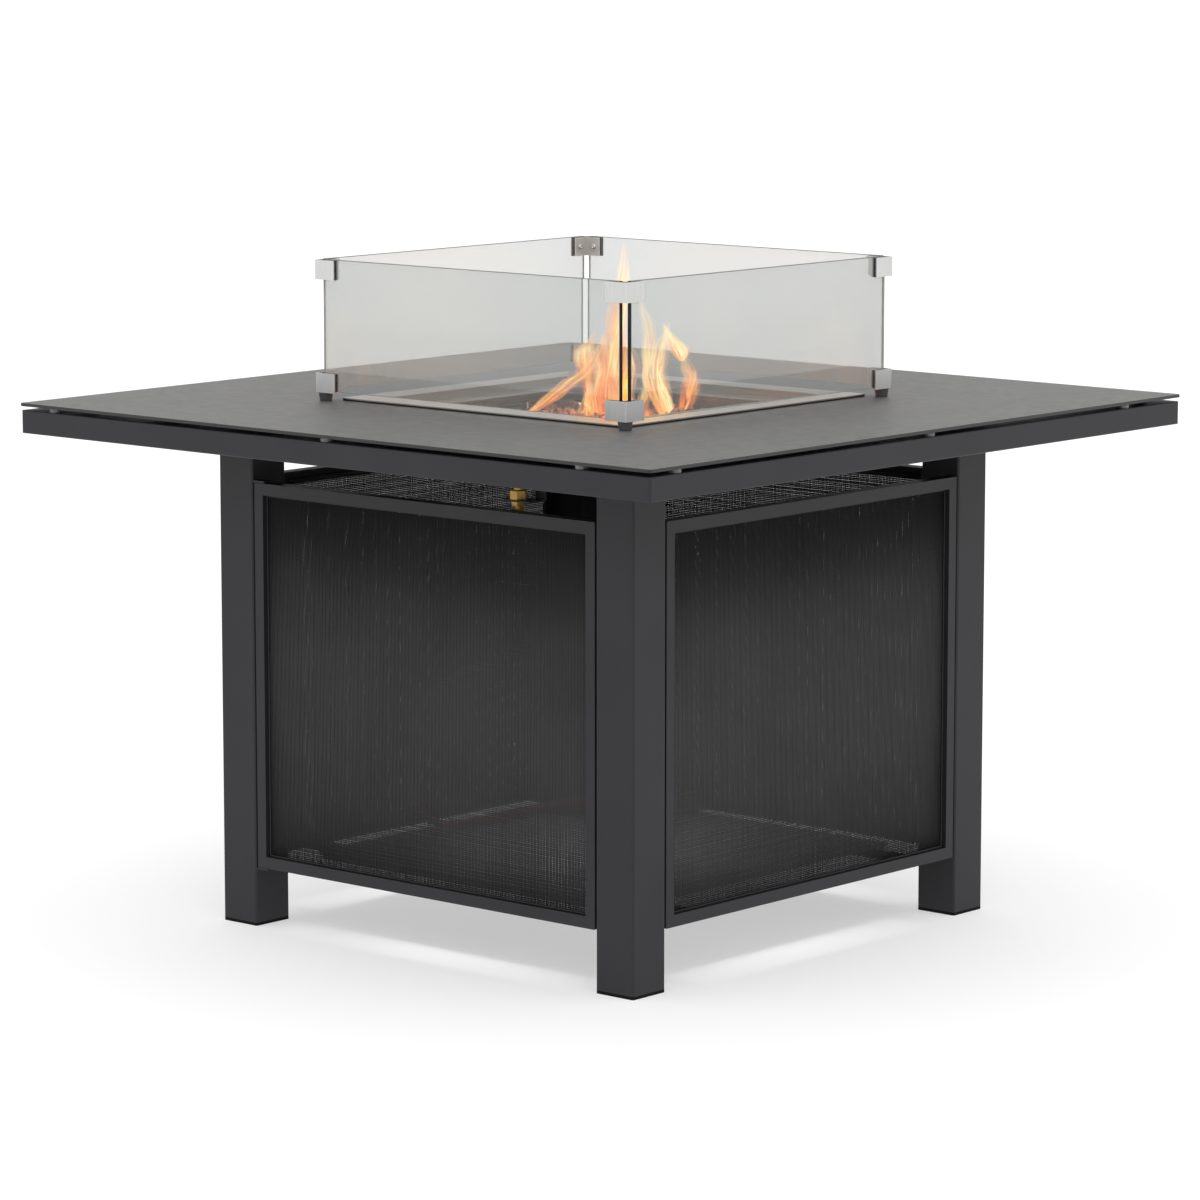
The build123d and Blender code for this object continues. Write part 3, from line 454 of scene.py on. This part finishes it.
def woven_panel(node, body, outward):
    """Two crossed layers of flat wires in the CAD sheet's place, with a black cord round the opening as a
    painted shadow line in the gap between frame and mesh.
    """
    low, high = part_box(node)
    along = UP.cross(outward)
    middle = (low + high) / 2
    size = high - low
    width, depth, height = abs(size.dot(along)), abs(size.dot(outward)), size.z
    shape = bmesh.new()
    layer = outward * WIRE_THICK * 0.5
    draw = random.Random(node)
    add_wires(shape, draw, middle + layer, along, width, UP, height, outward)
    add_wires(shape, draw, middle - layer, UP, height, along, width, outward)
    piece_from(f"{node}_weave", shape, mesh_coat, body, replaced=(node,))
    # The black cord paints the shadow in the gap between the frame and the mesh.
    cord = bmesh.new()
    front = middle + outward * (depth / 2 + SHADOW_CORD_R)
    half_w, half_h = width / 2 - MESH_LAP - SHADOW_CORD_R, height / 2 - MESH_LAP - SHADOW_CORD_R
    corners = [front + along * u * half_w + UP * v * half_h for u, v in ((-1, -1), (1, -1), (1, 1), (-1, 1))]
    add_loop(cord, corners, outward, SHADOW_CORD_R)
    piece_from(f"{node}_cord", cord, rubber, body)


for side, outward in OUTWARD.items():
    if side == "front":
        woven_panel("door_mesh", "door", outward)
    else:
        woven_panel(f"panel_{side}_mesh", "table", outward)


# ---- screws ---------------------------------------------------------------------------
def add_screw(shape, base, direction, radius, height, shank_radius, shank):
    """A domed head with a round socket, and a shank behind it."""
    profile = [(shank_radius, -shank), (shank_radius, 0), (radius, 0), (radius, 0.35 * height),
               (0.86 * radius, 0.75 * height), (0.6 * radius, height), (0.42 * radius, height),
               (0.40 * radius, 0.4 * height)]
    add_turned(shape, profile, base, direction, 20)


SHANK_R = 2 * MM
HEAD_H = 2 * MM
GUARD_HEAD_R = 3.5 * MM
RAIL_HEAD_R = 4.5 * MM
SCREW_REACH = 20 * MM      # all vertices of one screw lie within this of each other
CLIP_H = 25 * MM
CLIP_DEPTH = 12 * MM       # from a clip's outside to its inner face
SCREW_ALONG = 13 * MM      # from a clip's inner corner to its screws


def guard_screws():
    """Button heads inside every clip, with shanks through the glass."""
    screw_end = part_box("clip_screws")[1].x
    clip_low, clip_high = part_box("corner_clips")
    inner = clip_high.x - CLIP_DEPTH
    along = inner - SCREW_ALONG
    shape = bmesh.new()
    for z in (clip_low.z + CLIP_H / 2, clip_high.z - CLIP_H / 2):
        for sign in (-1, 1):
            for step in (-1, 1):
                for at, inwards in (((sign * inner, step * along, z), (-sign, 0, 0)),
                                    ((step * along, sign * inner, z), (0, -sign, 0))):
                    add_screw(shape, at, inwards, GUARD_HEAD_R, HEAD_H, SHANK_R, screw_end - inner)
    piece_from("guard_screws", shape, zinc, "wind_guard", replaced=("clip_screws",))


def rail_screws(node, body):
    """Pan heads under the lower rails, one for each place where the CAD node has one."""
    low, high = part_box(node)
    vertices = [v.co for v in NODES[node].data.vertices]
    places = []
    for point in vertices:
        if all((Vector(place) - point.xy).length >= SCREW_REACH for place in places):
            near = [v for v in vertices if (v.xy - point.xy).length < SCREW_REACH]
            places.append((sum(v.x for v in near) / len(near), sum(v.y for v in near) / len(near)))
    shape = bmesh.new()
    for x, y in places:
        add_screw(shape, (x, y, low.z + HEAD_H), (0, 0, -1), RAIL_HEAD_R, HEAD_H, SHANK_R,
                  high.z - low.z - HEAD_H)
    piece_from(f"{node}_detail", shape, zinc, body, replaced=(node,))


guard_screws()
rail_screws("panel_screws", "table")
rail_screws("door_screws", "door")


# ---- feet of the wind guard -----------------------------------------------------------
FOOT_R = 9.5 * MM          # top of a foot
SOLE_R = 7.9 * MM
FOOT_RIB = 0.25 * MM
FOOT_STEPS = 9


def guard_feet():
    """Tapered rubber feet with shallow ribs."""
    low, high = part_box("guard_feet")
    height = high.z - low.z
    place = high.x - FOOT_R
    profile = [(SOLE_R - 0.5 * MM, 0), (SOLE_R, 0.5 * MM)]    # radius and height from the foot's sole
    for step in range(1, FOOT_STEPS):
        share = step / FOOT_STEPS
        rib = FOOT_RIB if step % 2 else 0
        profile.append((SOLE_R + (FOOT_R - SOLE_R) * share - rib, height * share))
    profile += [(FOOT_R, height - 0.4 * MM), (FOOT_R - 0.2 * MM, height)]
    shape = bmesh.new()
    for sx in (-1, 1):
        for sy in (-1, 1):
            add_turned(shape, profile, (sx * place, sy * place, low.z), UP, 28)
    piece_from("guard_feet_ribbed", shape, foot_rubber, "wind_guard", replaced=("guard_feet",))


guard_feet()


# ---- lava stones ----------------------------------------------------------------------
LAVA_LAYERS = (11 * MM, 4 * MM)    # middles of the two layers of stones, below the top of the CAD blocks
LAVA_ROWS = 20
LAVA_EDGE = 9.6 * MM               # from the pan's outside to the stones
ELECTRODE_GAP = 4 * MM
PALE_SHARE = 0.05                  # of the upper layer
LAVA_SEED = 41


def lava_bed():
    """Broken stones over the whole pan, clear of the electrode."""
    draw = random.Random(LAVA_SEED)
    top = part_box("lava_stones")[1].z
    pan_low, pan_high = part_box("burner_pan")
    half = (pan_high.x - pan_low.x) / 2 - LAVA_EDGE
    electrode_low, electrode_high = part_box("spark_electrode")
    electrode = (electrode_low + electrode_high) / 2
    shape = bmesh.new()
    shade = shape.verts.layers.float.new("stone_shade")
    pitch = 2 * half / LAVA_ROWS
    for layer, depth in enumerate(LAVA_LAYERS):
        for row in range(LAVA_ROWS):
            for column in range(LAVA_ROWS):
                x = (row + 0.5 + draw.uniform(-0.35, 0.35)) * pitch - half
                y = (column + 0.5 + draw.uniform(-0.35, 0.35)) * pitch - half
                size = draw.uniform(6.5, 10) * MM
                reach = half - size
                x, y = max(-reach, min(reach, x)), max(-reach, min(reach, y))
                turn = Matrix.Rotation(draw.uniform(0, 6.28), 4,
                                       (draw.random(), draw.random(), draw.random() + 0.1))
                stretch = Matrix.Diagonal((1.0, draw.uniform(0.6, 0.95), draw.uniform(0.5, 0.8), 1))
                pale = layer == 1 and draw.random() < PALE_SHARE
                tone = 1.0 if pale else draw.random() * 0.92
                centre = Vector((x, y, top - depth + draw.uniform(-1.5, 1.5) * MM))
                if (centre - electrode).xy.length < size + ELECTRODE_GAP:
                    continue
                if pale:
                    size *= 0.7
                before = len(shape.verts)
                bmesh.ops.create_icosphere(shape, subdivisions=2, radius=size,
                                           matrix=Matrix.Translation(centre) @ turn @ stretch)
                shape.verts.ensure_lookup_table()
                seed = Vector((row * 3.1, column * 5.7, layer * 9.3))
                for vertex in shape.verts[before:]:
                    offset = vertex.co - centre
                    chip = noise.noise(offset * 150 + seed) * (0.25 if pale else 0.6)
                    facet = noise.cell(offset * 110 + seed) * (0.0 if pale else 0.16)
                    vertex.co = centre + offset * (1 + chip + facet)
                    vertex[shade] = tone
    piece_from("lava_bed", shape, lava, "table", smooth=False, replaced=("lava_stones",))


lava_bed()


# ---- hose from the union to the regulator ---------------------------------------------
HOSE_POINTS_MM = [
    (137, -318, 572), (137, -318, 520), (158, -303, 462), (128, -288, 406), (50, -270, 372),
    (-36, -252, 344), (-112, -232, 295), (-163, -205, 220), (-195, -162, 150), (-215, -95, 104),
    (-222, -12, 94.7), (-214, 74, 96.7), (-180, 150, 104.5), (-122, 202, 104.5),
]
HOSE_DIAMETER = 0.010
FERRULE_LENGTH = 22 * MM


def hose_ferrule(name, end, inwards):
    """A crimped sleeve over one end of the hose; inwards points from that end along the hose."""
    shape = bmesh.new()
    # radius and height from the hose's end
    profile = [(5.6 * MM, 0), (7.0 * MM, 0.6 * MM), (7.0 * MM, 4 * MM)]
    for groove in (5, 9, 13):
        profile += [(6.3 * MM, groove * MM), (6.3 * MM, (groove + 1.6) * MM), (6.9 * MM, (groove + 2.2) * MM),
                    (6.9 * MM, (groove + 3.6) * MM)]
    profile += [(6.7 * MM, FERRULE_LENGTH - 1 * MM), (6.0 * MM, FERRULE_LENGTH)]
    add_turned(shape, profile, end, inwards, 28)
    return piece_from(name, shape, brass, "table")


def gas_hose():
    """One smooth line from the union under the top down to the regulator on the base plate."""
    line = bpy.data.curves.new("hose", "CURVE")
    line.dimensions = "3D"
    line.bevel_depth = HOSE_DIAMETER / 2
    line.bevel_resolution = 6
    line.resolution_u = 16
    line.use_fill_caps = True
    spline = line.splines.new("NURBS")
    spline.points.add(len(HOSE_POINTS_MM) - 1)
    for point, place in zip(spline.points, HOSE_POINTS_MM):
        point.co = (*(Vector(place) * MM), 1)
    spline.order_u = 3
    spline.use_endpoint_u = True
    line.materials.append(hose_rubber)
    hose = bpy.data.objects.new("hose", line)
    bpy.context.scene.collection.objects.link(hose)
    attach(hose, "table")
    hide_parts("gas_hose")
    top, below = (Vector(place) * MM for place in HOSE_POINTS_MM[:2])
    before, end = (Vector(place) * MM for place in HOSE_POINTS_MM[-2:])
    ferrules = [hose_ferrule("hose_ferrule_union", top, below - top),
                hose_ferrule("hose_ferrule_regulator", end, before - end)]


gas_hose()


# ---- flames ---------------------------------------------------------------------------
FLAMES = [
    # back from the middle, extra heat, then points up the flame: across, height above the floor, half width.
    # Millimetres. Back runs to the back left corner, across to the back right corner.
    (0, 0.02, [(-100, 658, 5), (-74, 674, 12), (-46, 696, 17), (-20, 716, 18), (-4, 742, 11), (2, 766, 2)]),
    (-15, 0.10, [(-22, 648, 11), (-20, 662, 14), (-20, 680, 10), (-16, 700, 2)]),
    (30, -0.04, [(-16, 662, 8), (-20, 690, 9), (-22, 716, 15), (-22, 736, 18), (-14, 750, 9), (-8, 764, 2)]),
    (0, 0.06, [(12, 646, 17), (8, 690, 20), (12, 740, 17), (17, 790, 14), (24, 838, 11), (25, 880, 2)]),
    (-30, 0.16, [(76, 650, 6), (60, 680, 7), (50, 708, 8), (52, 738, 10), (52, 772, 10), (38, 812, 2)]),
    (20, 0.30, [(84, 652, 9), (74, 680, 12), (69, 708, 13), (71, 736, 12), (78, 756, 8), (82, 774, 2)]),
    (35, 0.22, [(100, 722, 4), (98, 734, 15), (90, 748, 13), (80, 762, 6), (76, 772, 2)]),
    (50, -0.06, [(100, 650, 10), (110, 676, 16), (114, 700, 14), (106, 720, 9), (98, 738, 2)]),
    (60, -0.02, [(36, 650, 12), (30, 684, 15), (38, 718, 11), (32, 748, 2)]),
    (-55, 0.0, [(50, 646, 10), (42, 668, 12), (46, 690, 8), (44, 708, 2)]),
    (10, -0.05, [(-6, 650, 14), (-4, 690, 15), (0, 730, 12), (-2, 762, 2)]),
]
FLAME_STEPS = 36
FLAME_SIDES = 18
BACK = Vector((-1, 1, 0)).normalized()
ACROSS = Vector((1, 1, 0)).normalized()


def smooth_point(points, position):
    """A point on a smooth curve through the points; position counts them from 0."""
    index = min(int(position), len(points) - 2)
    part = position - index
    near = [points[max(0, min(len(points) - 1, index + step))] for step in (-1, 0, 1, 2)]
    return [0.5 * (2 * b + (c - a) * part + (2 * a - 5 * b + 4 * c - d) * part ** 2
                   + (3 * b - a - 3 * c + d) * part ** 3) for a, b, c, d in zip(*near)]


def add_flame(shape, layers, back, heat, points, seed):
    """One tongue: a closed, flattened body that flickers and twists a little along its points."""
    rise, aside, number, hotter = layers
    circle = [2 * math.pi * i / FLAME_SIDES for i in range(FLAME_SIDES)]
    rings = []
    for step in range(FLAME_STEPS + 1):
        share = step / FLAME_STEPS
        across, height, half = smooth_point(points, share * (len(points) - 1))
        half = max(0.6, half * (1 + 0.35 * noise.noise(Vector((seed, share * 6, 0.3)))))
        if step == 0:
            half *= 0.3
        sway = 5 * share * noise.noise(Vector((0.7, share * 3, seed)))
        centre = (ACROSS * across + BACK * (back + sway) + UP * height) * MM
        angle = 0.5 * math.sin(3 * share + seed)
        wide = ACROSS * math.cos(angle) + BACK * math.sin(angle)
        deep = BACK * math.cos(angle) - ACROSS * math.sin(angle)
        rings.append([centre + (wide * math.cos(a) + deep * 0.5 * math.sin(a)) * half * MM for a in circle])
    for step, row in enumerate(add_rings(shape, rings)):
        for a, vertex in zip(circle, row):
            vertex[rise] = step / FLAME_STEPS
            vertex[aside] = math.cos(a)
            vertex[number] = seed
            vertex[hotter] = heat


def flames():
    """Tongues of fire over the burner ring."""
    shape = bmesh.new()
    layers = [shape.verts.layers.float.new(f"flame_{name}") for name in ("rise", "side", "number", "heat")]
    for number, (back, heat, points) in enumerate(FLAMES):
        add_flame(shape, layers, back, heat, points, 1.7 * number)
    piece_from("flames", shape, flame_glow, "table")


flames()

set_camera()
set_light()
set_floor()
